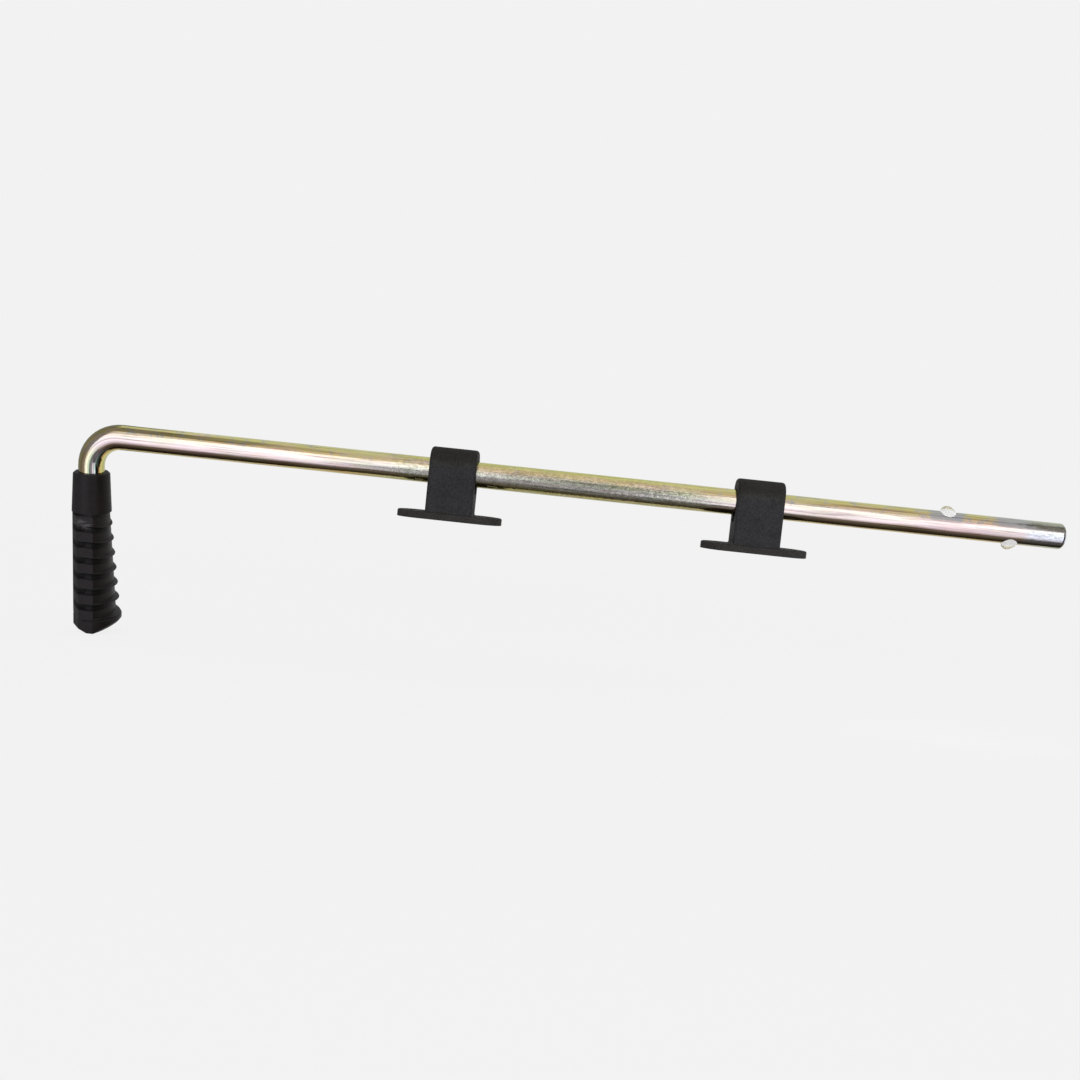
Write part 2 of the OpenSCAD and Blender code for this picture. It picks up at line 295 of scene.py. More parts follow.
def legPlace(tree, place):
    moved = tree.nodes.new("ShaderNodeVectorMath")
    moved.operation = "SUBTRACT"
    moved.inputs[1].default_value = (legFrame["legX"], 0.0, legFrame["axisZ"])
    tree.links.new(place, moved.inputs[0])
    turn = (-math.radians(180 + legFrame["roll"]), 0, 0)
    return splitVector(tree, scaledVector(tree, moved.outputs[0], (1, 1, 1), turn=turn))


# The bar: yellow passivated zinc over drawn steel

# patches of the film in other thicknesses, all drawn out along the bar
filmPatches = {
    # how the noise is stretched and shifted, then its scale, detail and roughness
    "cloud": ((1.0, 2.4, 2.4), (0.0, 0.0, 0.0), 55.0, 5.0, 0.62),
    "blocks": ((1.0, 1.6, 1.6), (0.3, 0.1, 0.2), 120.0, 4.0, 0.7),
    "specks": ((1.0, 1.5, 1.5), (0.0, 0.0, 0.0), 420.0, 4.0, 0.7),
    "rose": ((0.5, 3.0, 3.0), (0.7, 0.2, 0.4), 70.0, 3.0, 0.6),
    "green": ((0.5, 3.0, 3.0), (0.1, 0.8, 0.6), 60.0, 3.0, 0.6),
    # where each mask starts and where it is full
    "greyEdge": (0.52, 0.60),
    "roseEdge": (0.50, 0.68),
    "greenEdge": (0.50, 0.70),
    "speckShare": 0.35,  # of the specks in the grey, the rest is blocks
}

barFinish = {
    "bendRadius": 0.020,
    "lugsAt": (0.5155, 0.5545),  # along the bar from the end of the bend
    "hues": [  # round the bar from the back, over the underside, the front and the top to the back
        (0.00, (0.52, 0.46, 0.24, 1)),
        (0.12, (0.60, 0.50, 0.29, 1)),
        (0.22, (0.40, 0.40, 0.12, 1)),
        (0.31, (0.39, 0.38, 0.11, 1)),
        (0.35, (0.44, 0.35, 0.10, 1)),
        (0.372, (0.58, 0.43, 0.14, 1)),
        (0.393, (0.62, 0.43, 0.17, 1)),
        (0.411, (0.54, 0.36, 0.19, 1)),
        (0.443, (0.47, 0.33, 0.25, 1)),
        (0.462, (0.64, 0.51, 0.52, 1)),
        (0.483, (0.69, 0.60, 0.64, 1)),
        (0.508, (0.65, 0.57, 0.59, 1)),
        (0.533, (0.66, 0.64, 0.62, 1)),
        (0.558, (0.69, 0.59, 0.54, 1)),
        (0.583, (0.72, 0.62, 0.50, 1)),
        (0.600, (0.71, 0.53, 0.28, 1)),
        (0.623, (0.57, 0.45, 0.20, 1)),
        (0.645, (0.51, 0.43, 0.18, 1)),
        (0.690, (0.58, 0.56, 0.21, 1)),
        (0.75, (0.52, 0.54, 0.16, 1)),
        (0.79, (0.53, 0.53, 0.18, 1)),
        (0.85, (0.66, 0.55, 0.34, 1)),
        (0.92, (0.64, 0.52, 0.40, 1)),
        (1.00, (0.52, 0.46, 0.24, 1)),
    ],
    "bandShift": 0.07,  # how far bands and clouds shift the hues, as a share of the way round
    "cloudShift": 0.05,
    "rose": (0.72, 0.50, 0.50, 1),
    "green": (0.46, 0.52, 0.26, 1),
    "patchShare": 0.35,  # how strong the rose and the green patches are
    "legSlope": (160.0, -0.80),  # how the leg's film and its painted reflection stripes set in below the bar's axis
    "legHuesAndReflection": [  # round the leg, where the film is thinner, with the dark stripes between the leg's highlights painted in as reflection
        (0.00, (0.40, 0.38, 0.16, 1)),
        (0.20, (0.50, 0.52, 0.20, 1)),
        (0.325, (0.60, 0.58, 0.22, 1)),
        (0.340, (0.72, 0.36, 0.10, 1)),
        (0.355, (0.32, 0.20, 0.09, 1)),
        (0.375, (0.20, 0.27, 0.14, 1)),
        (0.395, (0.34, 0.54, 0.50, 1)),
        (0.415, (0.68, 0.70, 0.70, 1)),
        (0.436, (0.66, 0.52, 0.60, 1)),
        (0.448, (0.36, 0.40, 0.33, 1)),
        (0.468, (0.34, 0.46, 0.33, 1)),
        (0.487, (0.66, 0.68, 0.50, 1)),
        (0.52, (0.74, 0.68, 0.48, 1)),
        (0.54, (0.78, 0.52, 0.28, 1)),
        (0.565, (0.50, 0.42, 0.22, 1)),
        (0.70, (0.46, 0.44, 0.18, 1)),
        (0.85, (0.48, 0.46, 0.20, 1)),
        (1.00, (0.40, 0.38, 0.16, 1)),
    ],
    "wander": 0.035,  # how far the ends of a stretch stray along the bar
    "onTop": [(0.555, 0.12), (0.60, 1), (0.90, 1), (0.95, 0)],  # where grey patches and burns lie
    "blueGrey": (0.36, 0.38, 0.41, 1),
    "greySlope": (-0.50, 0.75),  # how strong the grey patches are, less so where it is dull
    "burntGrey": (0.35, 0.38, 0.42, 1),  # where the lugs were put in
    "burntReach": 0.013,
    "burntEdge": (0.05, 0.45),
    "burntShare": 0.8,
    "tipAt": 0.558,
    "tipSteepness": 170.0,  # how sharply the tip's hues begin
    "tipShare": 0.9,
    "tipHues": [
        (0.36, (0.50, 0.51, 0.34, 1)),
        (0.42, (0.40, 0.39, 0.33, 1)),
        (0.455, (0.40, 0.40, 0.43, 1)),
        (0.47, (0.56, 0.58, 0.68, 1)),
        (0.515, (0.55, 0.60, 0.68, 1)),
        (0.575, (0.57, 0.60, 0.58, 1)),
        (0.600, (0.17, 0.175, 0.155, 1)),
        (0.635, (0.10, 0.105, 0.10, 1)),
        (0.68, (0.34, 0.37, 0.31, 1)),
        (0.76, (0.48, 0.51, 0.38, 1)),
    ],
    "dulled": (0.138, 0.400),  # the stretch about the guides that is speckled and dull
    "dulledSteepness": 22.0,  # how sharply it begins and ends
    "dulledTintsAndReflections": [  # what that stretch adds to the film, round the bar as above: a greener tint, and painted reflection bands, darker and lighter
        (0.21, (1.00, 1.00, 1.00, 1)),
        (0.31, (0.66, 0.72, 0.62, 1)),
        (0.372, (0.70, 0.86, 0.84, 1)),
        (0.411, (0.84, 1.00, 0.86, 1)),
        (0.443, (0.80, 1.00, 0.80, 1)),
        (0.470, (0.86, 1.00, 0.86, 1)),
        (0.521, (0.95, 1.03, 0.96, 1)),
        (0.558, (0.80, 0.90, 0.80, 1)),
        (0.596, (0.92, 0.99, 1.00, 1)),
        (0.623, (1.04, 1.08, 1.30, 1)),
        (0.673, (1.12, 1.12, 1.16, 1)),
        (0.720, (0.88, 0.90, 0.68, 1)),
        (0.760, (0.92, 0.93, 0.78, 1)),
        (0.82, (1.00, 1.00, 1.00, 1)),
    ],
    "grainSlope": (2.0, -1.0),  # the specks keep away from the ends of the dull stretch
    "drawnOut": 0.02,  # length of the drawing lines, the smaller the longer
    "streaks": (1050.0, 4.0, 0.68),  # noise scale, detail and roughness
    "bands": (260.0, 2.0, 0.5),
    "crystals": (800.0, 3.0, 0.65),
    "crystalStretch": (0.55, 1.0, 1.0),
    "lineTones": [
        (0.34, (0.40, 0.31, 0.33, 1)),
        (0.47, (0.90, 0.86, 0.88, 1)),
        (0.54, (1.04, 1.03, 1.04, 1)),
        (0.70, (1.12, 1.11, 1.11, 1)),
    ],
    "lineSlope": (-0.30, 0.85),  # how strong the drawing lines are, less so where it is dull
    "speckTones": [
        (0.34, (0.50, 0.51, 0.49, 1)),
        (0.50, (0.97, 0.97, 0.97, 1)),
        (0.64, (1.50, 1.50, 1.52, 1)),
    ],
    "inFront": [(0.28, 0.25), (0.38, 0.6), (0.61, 0.6), (0.68, 0.25)],  # where the specks lie
    "tipSpecks": 0.45,
    "sawnEnd": [(0.35, (0.30, 0.31, 0.28, 1)), (0.62, (0.46, 0.47, 0.43, 1))],
    "endFacing": 0.85,  # how far a point of the end looks along the bar
    "endSteepness": 12.0,
    "roughness": 0.085,
    "streakGloss": 0.10,
    "speckGloss": 0.10,
    "endGloss": 0.25,
    "reliefSlope": (2.2, 0.35),  # how high the crystals stand, more so where it is dull
    "bump": (0.20, 0.0002),  # strength and distance
}


def makeFilmGroup(look):
    # the patches as masks from 0 to 1, and the cloud that all wander with
    group, given, made = newGroup("filmPatches", [
        ("Place", "NodeSocketVector", (0.0, 0.0, 0.0)),
    ], [
        ("Cloud", "NodeSocketFloat"),
        ("Grey", "NodeSocketFloat"),
        ("Rose", "NodeSocketFloat"),
        ("Green", "NodeSocketFloat"),
    ])

    def patchNoise(name):
        stretch, shift, scale, detail, roughness = look[name]
        stretched = scaledVector(group, given["Place"], stretch, shift=shift)
        return noiseNode(group, stretched, scale, detail, roughness)

    feed(group, made["Cloud"], patchNoise("cloud"))
    blocks = times(group, patchNoise("blocks"), 1 - look["speckShare"])
    mottled = slope(group, patchNoise("specks"), look["speckShare"], blocks)
    feed(group, made["Grey"], fadeIn(group, mottled, look["greyEdge"]))
    feed(group, made["Rose"], fadeIn(group, patchNoise("rose"), look["roseEdge"]))
    feed(group, made["Green"], fadeIn(group, patchNoise("green"), look["greenEdge"]))
    return group


def unrollBar(tree, place, bend):
    # follows the bar round its bend: along it, out from its axis, to the front, and down the leg
    x, front, below = legPlace(tree, place)
    pastBend = minus(tree, x, bend)
    belowBend = minus(tree, below, bend)
    inX = mathNode(tree, "MINIMUM", pastBend, 0.0)
    inZ = mathNode(tree, "MINIMUM", belowBend, 0.0)
    reach = mathNode(tree, "SQRT", plus(tree, times(tree, inX, inX), times(tree, inZ, inZ)))
    onBar = mathNode(tree, "MAXIMUM", pastBend, 0.0)
    onLeg = mathNode(tree, "MAXIMUM", belowBend, 0.0)
    return minus(tree, onBar, onLeg), minus(tree, reach, bend), front, below


def burntMask(tree, along, look):
    # a ring round each lug
    first, second = (nearMask(tree, along, lugAt, look["burntReach"]) for lugAt in look["lugsAt"])
    return fadeIn(tree, mathNode(tree, "MAXIMUM", first, second), look["burntEdge"])


def makeBarMaterial(look):
    material, tree, shader = newMaterial("yellowZincBar")
    place = coordinate(tree, "Object")
    along, outward, front, below = unrollBar(tree, place, look["bendRadius"])
    drawn = tree.nodes.new("ShaderNodeCombineXYZ")
    for socket, value in zip(drawn.inputs, (times(tree, along, look["drawnOut"]), outward, front)):
        feed(tree, socket, value)
    streaks = noiseNode(tree, drawn.outputs[0], *look["streaks"])
    bands = noiseNode(tree, drawn.outputs[0], *look["bands"])
    crystals = noiseNode(tree, scaledVector(tree, place, look["crystalStretch"]), *look["crystals"])
    patches = useGroup(tree, filmGroup, Place=place)

    # the colour of the film goes with the angle round the bar, shifted by bands and clouds
    angle = mathNode(tree, "ARCTAN2", outward, front)
    turnShare = slope(tree, angle, 0.5 / math.pi, 0.5)
    shifted = plus(tree, turnShare, swing(tree, bands, look["bandShift"]))
    shifted = plus(tree, shifted, swing(tree, patches["Cloud"], look["cloudShift"]))
    shifted = mathNode(tree, "FRACT", shifted)
    film = rampNode(tree, shifted, look["hues"])
    film = mixColour(tree, times(tree, patches["Rose"], look["patchShare"]), film, look["rose"])
    film = mixColour(tree, times(tree, patches["Green"], look["patchShare"]), film, look["green"])
    onLeg = slope(tree, below, *look["legSlope"], clamp=True)
    # the leg's thinner film, with painted dark reflection stripes between its highlights
    film = mixColour(tree, onLeg, film, rampNode(tree, shifted, look["legHuesAndReflection"]))

    # the stretches along the bar, with ends that stray by half the wander either way
    wander = slope(tree, patches["Cloud"], look["wander"], minus(tree, along, look["wander"] / 2))
    start, end = look["dulled"]
    fromMiddle = mathNode(tree, "ABSOLUTE", minus(tree, wander, (start + end) / 2))
    dulled = minus(tree, (end - start) / 2, fromMiddle)
    dulled = times(tree, dulled, look["dulledSteepness"], clamp=True)
    grain = slope(tree, dulled, *look["grainSlope"], clamp=True)
    atTip = stepAt(tree, wander, look["tipAt"], look["tipSteepness"])

    # grey patches, burns at the lugs and the tip's own hues
    onTop = rampNode(tree, turnShare, greyStops(look["onTop"]))
    greyShare = times(tree, times(tree, patches["Grey"], onTop), slope(tree, dulled, *look["greySlope"]))
    colour = mixColour(tree, greyShare, film, look["blueGrey"])
    burnt = times(tree, times(tree, burntMask(tree, wander, look), onTop), look["burntShare"])
    colour = mixColour(tree, burnt, colour, look["burntGrey"])
    tipHues = rampNode(tree, shifted, look["tipHues"])
    colour = mixColour(tree, times(tree, atTip, look["tipShare"]), colour, tipHues)

    # drawing lines, specks, and the dull stretch's tint with its painted reflection bands
    lines = rampNode(tree, streaks, look["lineTones"])
    colour = tint(tree, slope(tree, dulled, *look["lineSlope"]), colour, lines)
    inFront = rampNode(tree, turnShare, greyStops(look["inFront"]))
    tipSpecks = times(tree, atTip, look["tipSpecks"])
    speckled = mathNode(tree, "MAXIMUM", times(tree, grain, inFront), tipSpecks)
    colour = tint(tree, speckled, colour, rampNode(tree, crystals, look["speckTones"]))
    # a greener tint and painted reflection bands over the dull stretch
    colour = tint(tree, dulled, colour, rampNode(tree, turnShare, look["dulledTintsAndReflections"]))

    # the sawn end of the tip
    facing = splitVector(tree, coordinate(tree, "Normal"))[0]
    onEnd = times(tree, stepAt(tree, facing, look["endFacing"], look["endSteepness"]), atTip)
    colour = mixColour(tree, onEnd, colour, rampNode(tree, crystals, look["sawnEnd"]))

    feed(tree, shader.inputs["Base Color"], colour)
    shader.inputs["Metallic"].default_value = 1.0
    rough = plus(tree, swing(tree, streaks, look["streakGloss"]), look["roughness"])
    dullest = mathNode(tree, "MAXIMUM", greyShare, grain)
    rough = plus(tree, rough, times(tree, dullest, look["speckGloss"]))
    feed(tree, shader.inputs["Roughness"], slope(tree, onEnd, look["endGloss"], rough))
    relief = plus(tree, streaks, times(tree, crystals, slope(tree, grain, *look["reliefSlope"])))
    addBump(tree, shader, relief, *look["bump"])
    return material


filmGroup = makeFilmGroup(filmPatches)
dress(["bolt_rod"], makeBarMaterial(barFinish))
print("bar dressed")

# The two lugs: a bare ground face under a crest that kept its film

lugFinish = {
    "ground": [(0.38, (0.91, 0.91, 0.91, 1)), (0.56, (0.97, 0.97, 0.975, 1))],
    "crest": (0.60, 0.57, 0.44, 1),
    "faceTilt": (0.545, 0.838),  # how far the faces look to the front, and up or down
    "faceEdge": (0.974, 70.0),  # how straight a point of the face looks that way, and how sharply it ends
    "lines": (160.0, 2.0, 0.5),  # noise scale, detail and roughness
    "lineStretch": (3.0, 1.0, 1.0),
    "lineTurn": (0.2, 0.3, 0.1),
    "patches": (220.0, 2.0, 0.5),
    "patchShare": 0.5,
    "faceMetal": 0.25,
    "roughness": 0.40,
    "lineGloss": 0.2,
    "bump": (0.1, 0.00005),  # strength and distance
}


def makeLugMaterial(look):
    material, tree, shader = newMaterial("groundSteelLugs")
    place = coordinate(tree, "Object")
    _, toBack, upward = splitVector(tree, coordinate(tree, "Normal"))
    front, upright = look["faceTilt"]
    toFace = slope(tree, mathNode(tree, "ABSOLUTE", upward), upright, times(tree, toBack, -front))
    onFace = stepAt(tree, toFace, *look["faceEdge"])
    stretched = scaledVector(tree, place, look["lineStretch"], turn=look["lineTurn"])
    lines = noiseNode(tree, stretched, *look["lines"])
    patches = times(tree, noiseNode(tree, place, *look["patches"]), look["patchShare"])
    share = plus(tree, times(tree, lines, 1 - look["patchShare"]), patches)
    ground = rampNode(tree, share, look["ground"])
    feed(tree, shader.inputs["Base Color"], mixColour(tree, onFace, look["crest"], ground))
    feed(tree, shader.inputs["Metallic"], slope(tree, onFace, look["faceMetal"] - 1.0, 1.0))
    rough = slope(tree, lines, look["lineGloss"], look["roughness"] - look["lineGloss"] / 2)
    feed(tree, shader.inputs["Roughness"], rough)
    addBump(tree, shader, lines, *look["bump"])
    return material


dress(["hold_lug", "stop_lug"], makeLugMaterial(lugFinish))
print("lugs dressed")

# The black mouldings

guideFinish = {
    "colour": (0.0200, 0.0197, 0.0199, 1),
    "paleColour": (0.058, 0.0575, 0.0610, 1),
    "scuffColour": (0.06, 0.06, 0.055, 1),
    "grainSize": 1000.0,
    "grainContrast": 1.6,
    "roughness": 0.72,
    "specular": 0.13,
    "scuffs": 0.2,
    "scuffGloss": 0.3,
    "bump": (0.5, 0.00012),  # strength and distance
    "tonesAndShadeByHeight": {
        "tonesAndShade": [  # by height: flange and walls in their own tones, then a painted highlight band where the shoulder starts and painted shade over the shoulder and arch
            (0.0040, (1.18, 1.13, 1.02, 1)),
            (0.0055, (1.00, 1.00, 1.06, 1)),
            (0.0320, (1.00, 1.00, 1.06, 1)),
            (0.0345, (1.15, 1.12, 1.06, 1)),
            (0.0385, (0.72, 0.68, 0.60, 1)),
        ],
        "tallest": 0.050,
        "waver": 0.003,  # how far such a height strays
        "waverNoise": (90.0, 2.0, 0.5),  # scale, detail and roughness
    },
}

gripFinish = {
    "colour": (0.0155, 0.0136, 0.0152, 1),
    "paleColour": (0.0350, 0.0308, 0.0338, 1),
    "scuffColour": (0.05, 0.05, 0.05, 1),
    "grainSize": 1500.0,
    "grainContrast": 1.2,
    "roughness": 0.46,
    "specular": 0.12,
    "scuffs": 0.15,
    "scuffGloss": 0.3,
    "bump": (0.5, 0.00006),
    "flankShade": {  # painted shade, warm-tinted, on the side that faces the bar
        "tone": (0.50, 0.42, 0.34, 1),
        "steepness": 1.3,
    },
    "grooveShade": {  # painted shade in the grooves between the ribs, below the bar's axis, along the leg
        "first": 0.0566,
        "pitch": 0.0102,
        "last": 0.1180,
        "endSteepness": 3000.0,
        "dip": 0.002,  # how much lower the first one lies at the finger side
        "dipSlope": (-14.0, 1.7),  # how the dip fades down the leg
        "fingerSlope": (140.0, -0.65),  # how the dip grows to the finger side
        "spineSlope": (400.0, 4.2),  # how the grooves end at the smooth spine
        "depth": [(0.0, 0), (0.03, 1), (0.20, 0.9), (0.36, 0.3), (0.42, 0)],  # over one pitch
        "tone": (0.22, 0.22, 0.23, 1),
    },
    "rubbed": {  # the worn pad next to the sleeve
        "middle": (-0.2315, -0.0268),
        "reach": (0.0085, 0.0042),
        "frontOf": 0.006,
        "frontSteepness": 900.0,
        "strength": 2.2,
        "marks": (520.0, 3.0, 0.6),  # noise scale, detail and roughness
        "markStretch": (0.35, 1.0, 1.6),
        "markTurn": (0, 0.35, 0),
        "markEdge": (0.42, 0.62),
        "colour": (0.11, 0.105, 0.11, 1),
    },
}


# the guides' own tones by height, with a painted highlight band at the shoulder and painted shade over the
# arch
def heightTonesAndShade(tree, place, look):
    noise = noiseNode(tree, place, *look["waverNoise"])
    z = splitVector(tree, place)[2]
    height = slope(tree, noise, look["waver"], minus(tree, z, look["waver"] / 2))
    stops = [(top / look["tallest"], tone) for top, tone in look["tonesAndShade"]]
    return rampNode(tree, shareOf(tree, height, look["tallest"]), stops)


# painted shade: darker as the surface turns towards the bar
def flankShadeMask(tree, look):
    return times(tree, splitVector(tree, coordinate(tree, "Normal"))[0], look["steepness"], clamp=True)


def grooveShadeMask(tree, place, look):
    # painted shade in the grooves: darkest just under a rib's lip, fading towards the next rib
    x, _, down = legPlace(tree, place)
    fade = slope(tree, down, *look["dipSlope"], clamp=True)
    aside = slope(tree, x, *look["fingerSlope"], clamp=True)
    level = minus(tree, down, times(tree, times(tree, fade, aside), look["dip"]))
    turn = shareOf(tree, minus(tree, level, look["first"]), look["pitch"])
    mask = rampNode(tree, mathNode(tree, "FRACT", turn), greyStops(look["depth"]))
    past = stepAt(tree, level, look["first"], look["endSteepness"])
    before = times(tree, minus(tree, look["last"], level), look["endSteepness"], clamp=True)
    offSpine = slope(tree, x, *look["spineSlope"], clamp=True)
    return times(tree, times(tree, mask, offSpine), times(tree, past, before))


def rubbedMask(tree, place, look):
    # streaky rubbing over one spot of the front side
    x, y, z = splitVector(tree, place)
    nearX = nearMask(tree, x, look["middle"][0], look["reach"][0])
    nearZ = nearMask(tree, z, look["middle"][1], look["reach"][1])
    inFront = times(tree, minus(tree, look["frontOf"], y), look["frontSteepness"], clamp=True)
    near = times(tree, times(tree, nearX, nearZ), inFront)
    turned = scaledVector(tree, place, look["markStretch"], turn=look["markTurn"])
    marks = fadeIn(tree, noiseNode(tree, turned, *look["marks"]), look["markEdge"])
    return times(tree, times(tree, near, look["strength"], clamp=True), marks)


def makeMouldedMaterial(name, look):
    material, tree, shader = newMaterial(name)
    place = coordinate(tree, "Object")
    grain = useGroup(
        tree, grainGroup, Colour=look["colour"], Pale_Colour=look["paleColour"],
        Grain_Size=look["grainSize"], Grain_Contrast=look["grainContrast"], Roughness=look["roughness"],
    )
    scuffs = useGroup(tree, scuffGroup, Amount=look["scuffs"])["Mask"]
    colour = mixColour(tree, scuffs, grain["Colour"], look["scuffColour"])
    if "tonesAndShadeByHeight" in look:
        # own tones by height, with a painted highlight band at the shoulder and painted shade over the arch
        colour = tint(tree, 1.0, colour, heightTonesAndShade(tree, place, look["tonesAndShadeByHeight"]))
    if "flankShade" in look:
        # painted shade on the side that faces the bar
        colour = tint(tree, flankShadeMask(tree, look["flankShade"]), colour, look["flankShade"]["tone"])
    if "grooveShade" in look:
        # painted shade in the grooves between the ribs
        colour = tint(tree, grooveShadeMask(tree, place, look["grooveShade"]), colour, look["grooveShade"]["tone"])
    if "rubbed" in look:
        colour = mixColour(tree, rubbedMask(tree, place, look["rubbed"]), colour, look["rubbed"]["colour"])
    feed(tree, shader.inputs["Base Color"], colour)
    rough = plus(tree, grain["Roughness"], times(tree, scuffs, look["scuffGloss"]), clamp=True)
    feed(tree, shader.inputs["Roughness"], rough)
    shader.inputs["Specular IOR Level"].default_value = look["specular"]
    addBump(tree, shader, grain["Height"], *look["bump"])
    return material


dress(["upper_guide", "lower_guide"], makeMouldedMaterial("blackGuideMoulding", guideFinish))
dress(["handle_grip"], makeMouldedMaterial("blackGripMoulding", gripFinish))
print("mouldings dressed")

# Floor, cards and lamps

studio = {
    "paleGrey": 0.888,  # the photograph's backdrop
    "worldLight": 0.30,
    "floorSize": 3.0,
    "floorGap": 0.0004,  # below the object's lowest point
    "shadowShare": 0.13,  # how much of the floor's own shading shows round the object
    "shadowReach": 0.9,  # as a share of the floor's half
    "litFloor": 0.45,  # the floor's own shading where no shadow falls
    "lamps": {  # each is a soft lamp that only lights, and that reflections don't show
        "frontLamp": {
            "place": (0.06, -1.35, -0.2), "aim": (0.06, 0.0, -0.02), "size": (2.2, 1.6), "watts": 19.0,
        },
        "topLamp": {
            "place": (0.1, -0.3, 1.4), "aim": (0.1, 0.0, 0.0), "size": (1.6, 1.2), "watts": 3.0,
        },
        "tipLampAbove": {
            "place": (0.31, -0.08, 0.14), "aim": (0.30, 0.0, 0.035), "size": (0.08, 0.04), "watts": 0.04,
        },
        "tipLampBelow": {
            "place": (0.33, -0.08, -0.07), "aim": (0.325, 0.0, 0.025), "size": (0.08, 0.04), "watts": 0.06,
        },
    },
}

# bright card behind the camera, with a dim upright patch in its middle
frontCard = {
    "y": -0.8,
    "left": -0.95,
    "right": 1.0,
    "bottom": -1.45,
    "top": 0.62,
    "brightest": 2.0,  # light of a level of 1
    "levels": [  # from the bottom up
        (0.0, 0.15), (0.10, 0.25), (0.30, 0.475), (0.44, 0.75), (0.68, 0.775), (0.76, 0.925), (1.0, 0.925),
    ],
    "dimShares": [  # how much the patch takes away, from the bottom up
        (0.0, 0.80), (0.35, 0.79), (0.48, 0.71), (0.66, 0.71), (0.76, 0.78), (0.83, 0.89), (1.0, 0.89),
    ],
    "dimRight": 0.27,
    "dimLeftAbove": -0.06,
    "dimLeftBelow": -0.27,
    "belowSlope": (-4.0, 0.2),  # how the patch widens downwards
    "dimEdge": 0.07,
}

# dark card under the bar: its front edge, then its rear edge, as (x, y)
underCard = {
    "z": -0.5,
    "outline": [
        (-1.2, -0.31), (-0.25, -0.32), (-0.06, -0.60), (0.2, -0.66), (0.38, -0.36), (1.3, -0.36),
        (1.3, 0.36), (0.5, 0.36), (0.36, 0.38), (0.28, 0.26), (0.18, 0.12),
        (-0.16, 0.12), (-0.25, 0.28), (-0.34, 0.34), (-1.2, 0.36),
    ],
    "front": -0.70,
    "rear": 0.40,
    "shades": [  # from the front to the rear
        (0.0, 0.30), (0.14, 0.16), (0.35, 0.30), (0.42, 0.22),
        (0.52, 0.15), (0.62, 0.08), (0.73, 0.03), (1.0, 0.03),
    ],
}

# smaller cards: what stands left, right and overhead
sideCards = {
    "leftCard": {
        "shade": 0.31,
        "corners": [(-0.98, -0.8, -1.2), (-0.98, 2.0, -1.2), (-0.98, 2.0, 1.5), (-0.98, -0.8, 1.5)],
    },
    "rightCard": {
        "shade": 0.03,
        "corners": [(1.02, -0.8, -1.2), (1.02, -0.06, -1.2), (1.02, -0.06, 0.4), (1.02, -0.8, 0.4)],
    },
    "overheadCard": {
        "shade": 0.34,
        "fade": (-0.40, -0.24),  # where it fades to the backdrop's grey, so that no edge shows
        "corners": [(-1.2, -0.48, 0.75), (-0.24, -0.48, 0.75), (-0.24, 0.10, 0.75), (-1.2, 0.10, 0.75)],
    },
}


def glow(tree, strength):
    node = tree.nodes.new("ShaderNodeEmission")
    feed(tree, node.inputs["Strength"], strength)
    return node.outputs[0]


def addSheet(name, corners, makeSurface):
    # one flat face with a material of its own
    mesh = bpy.data.meshes.new(name)
    mesh.from_pydata(corners, [], [tuple(range(len(corners)))])
    sheet = bpy.data.objects.new(name, mesh)
    bpy.context.scene.collection.objects.link(sheet)
    material = bpy.data.materials.new(name)
    material.use_nodes = True
    tree = material.node_tree
    tree.nodes.clear()
    output = tree.nodes.new("ShaderNodeOutputMaterial")
    tree.links.new(makeSurface(tree), output.inputs["Surface"])
    mesh.materials.append(material)
    return sheet


def makeFloor(settings):
    half = settings["floorSize"] / 2
    z = cadLow[2] - settings["floorGap"]

    def floorSurface(tree):
        shaded = tree.nodes.new("ShaderNodeBsdfDiffuse")
        shaded.inputs["Color"].default_value = grey(settings["paleGrey"])
        length = tree.nodes.new("ShaderNodeVectorMath")
        length.operation = "LENGTH"
        tree.links.new(coordinate(tree, "Object"), length.inputs[0])
        away = shareOf(tree, length.outputs["Value"], half * settings["shadowReach"])
        share = times(tree, minus(tree, 1.0, away, clamp=True), settings["shadowShare"])
        seen = tree.nodes.new("ShaderNodeLightPath").outputs["Is Camera Ray"]
        # the plain grey makes up for the floor's darker shading, so only the shadow shows
        lift = shareOf(tree, share, minus(tree, 1.0, share))
        plain = slope(tree, lift, settings["paleGrey"] - settings["litFloor"], settings["paleGrey"])
        mix = tree.nodes.new("ShaderNodeMixShader")
        own = plus(tree, minus(tree, 1.0, seen), times(tree, seen, share))
        for socket, value in zip(mix.inputs, (own, glow(tree, plain), shaded.outputs[0])):
            tree.links.new(value, socket)
        return mix.outputs[0]

    corners = [(-half, -half, z), (half, -half, z), (half, half, z), (-half, half, z)]
    floor = addSheet("paleFloor", corners, floorSurface)
    floor.visible_glossy = False


def addCard(name, corners, makeSurface):
    # a glowing card that only mirror-like surfaces see
    card = addSheet(name, corners, makeSurface)
    card.visible_camera = False
    card.visible_diffuse = False
    card.visible_shadow = False
    card.visible_transmission = False


def makeFrontCard(settings):
    y, low, high = settings["y"], settings["bottom"], settings["top"]
    left, right = settings["left"], settings["right"]
    above, below, edge = settings["dimLeftAbove"], settings["dimLeftBelow"], settings["dimEdge"]

    def cardSurface(tree):
        x, _, z = splitVector(tree, coordinate(tree, "Object"))
        height = shareOf(tree, minus(tree, z, low), high - low)
        level = rampNode(tree, height, greyStops(settings["levels"]))
        dimShare = rampNode(tree, height, greyStops(settings["dimShares"]))
        lower = slope(tree, z, *settings["belowSlope"], clamp=True)
        leftEdge = slope(tree, lower, below - above, above)
        fromLeft = shareOf(tree, minus(tree, x, leftEdge), edge, clamp=True)
        fromRight = shareOf(tree, minus(tree, settings["dimRight"], x), edge, clamp=True)
        dim = times(tree, times(tree, fromLeft, fromRight), dimShare)
        return glow(tree, times(tree, times(tree, level, minus(tree, 1.0, dim)), settings["brightest"]))

    addCard("frontCard", [(left, y, low), (right, y, low), (right, y, high), (left, y, high)], cardSurface)


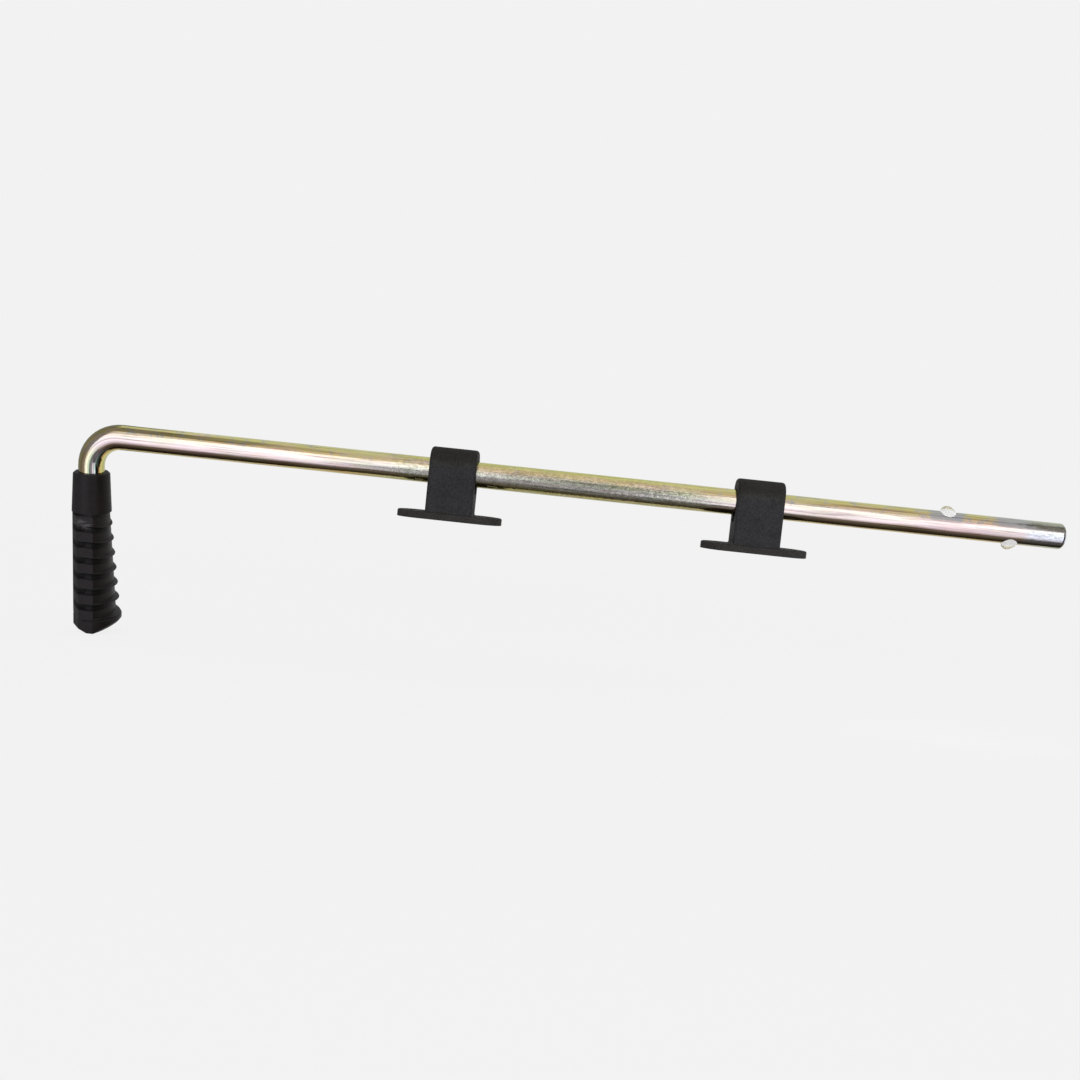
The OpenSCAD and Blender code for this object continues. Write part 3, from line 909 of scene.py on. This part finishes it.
def makeUnderCard(settings):
    front, rear = settings["front"], settings["rear"]

    def cardSurface(tree):
        y = splitVector(tree, coordinate(tree, "Object"))[1]
        toRear = shareOf(tree, minus(tree, y, front), rear - front)
        return glow(tree, rampNode(tree, toRear, greyStops(settings["shades"])))

    addCard("underCard", [(x, y, settings["z"]) for x, y in settings["outline"]], cardSurface)


def makeSideCard(name, card, paleGrey):
    def cardSurface(tree):
        if "fade" not in card:
            return glow(tree, card["shade"])
        start, end = card["fade"]
        x = splitVector(tree, coordinate(tree, "Object"))[0]
        share = shareOf(tree, minus(tree, x, start), end - start, clamp=True)
        return glow(tree, slope(tree, share, paleGrey - card["shade"], card["shade"]))

    addCard(name, card["corners"], cardSurface)


def makeLamp(name, settings):
    light = bpy.data.lights.new(name, "AREA")
    light.shape = "RECTANGLE"
    light.size, light.size_y = settings["size"]
    light.energy = settings["watts"]
    lamp = bpy.data.objects.new(name, light)
    bpy.context.scene.collection.objects.link(lamp)
    gaze = Vector(settings["aim"]) - Vector(settings["place"])
    lamp.location = settings["place"]
    lamp.rotation_mode = "QUATERNION"
    lamp.rotation_quaternion = gaze.to_track_quat("-Z", "Y")
    lamp.visible_camera = False
    lamp.visible_glossy = False


def makeWorld(settings):
    # the backdrop's grey to look at and in reflections, weaker as a light
    world = bpy.data.worlds.new("paleStudio")
    bpy.context.scene.world = world
    world.use_nodes = True
    tree = world.node_tree
    tree.nodes.clear()
    output = tree.nodes.new("ShaderNodeOutputWorld")
    background = tree.nodes.new("ShaderNodeBackground")
    path = tree.nodes.new("ShaderNodeLightPath").outputs
    direct = mathNode(tree, "MAXIMUM", path["Is Camera Ray"], path["Is Glossy Ray"])
    direct = mathNode(tree, "MAXIMUM", direct, path["Is Transmission Ray"])
    more = settings["paleGrey"] - settings["worldLight"]
    background.inputs["Color"].default_value = grey(1)
    feed(tree, background.inputs["Strength"], plus(tree, times(tree, direct, more), settings["worldLight"]))
    tree.links.new(background.outputs[0], output.inputs["Surface"])


makeFloor(studio)
makeFrontCard(frontCard)
makeUnderCard(underCard)
for name, card in sideCards.items():
    makeSideCard(name, card, studio["paleGrey"])
for name, lamp in studio["lamps"].items():
    makeLamp(name, lamp)
makeWorld(studio)
bpy.context.scene.view_settings.view_transform = "Standard"
print("studio ready")
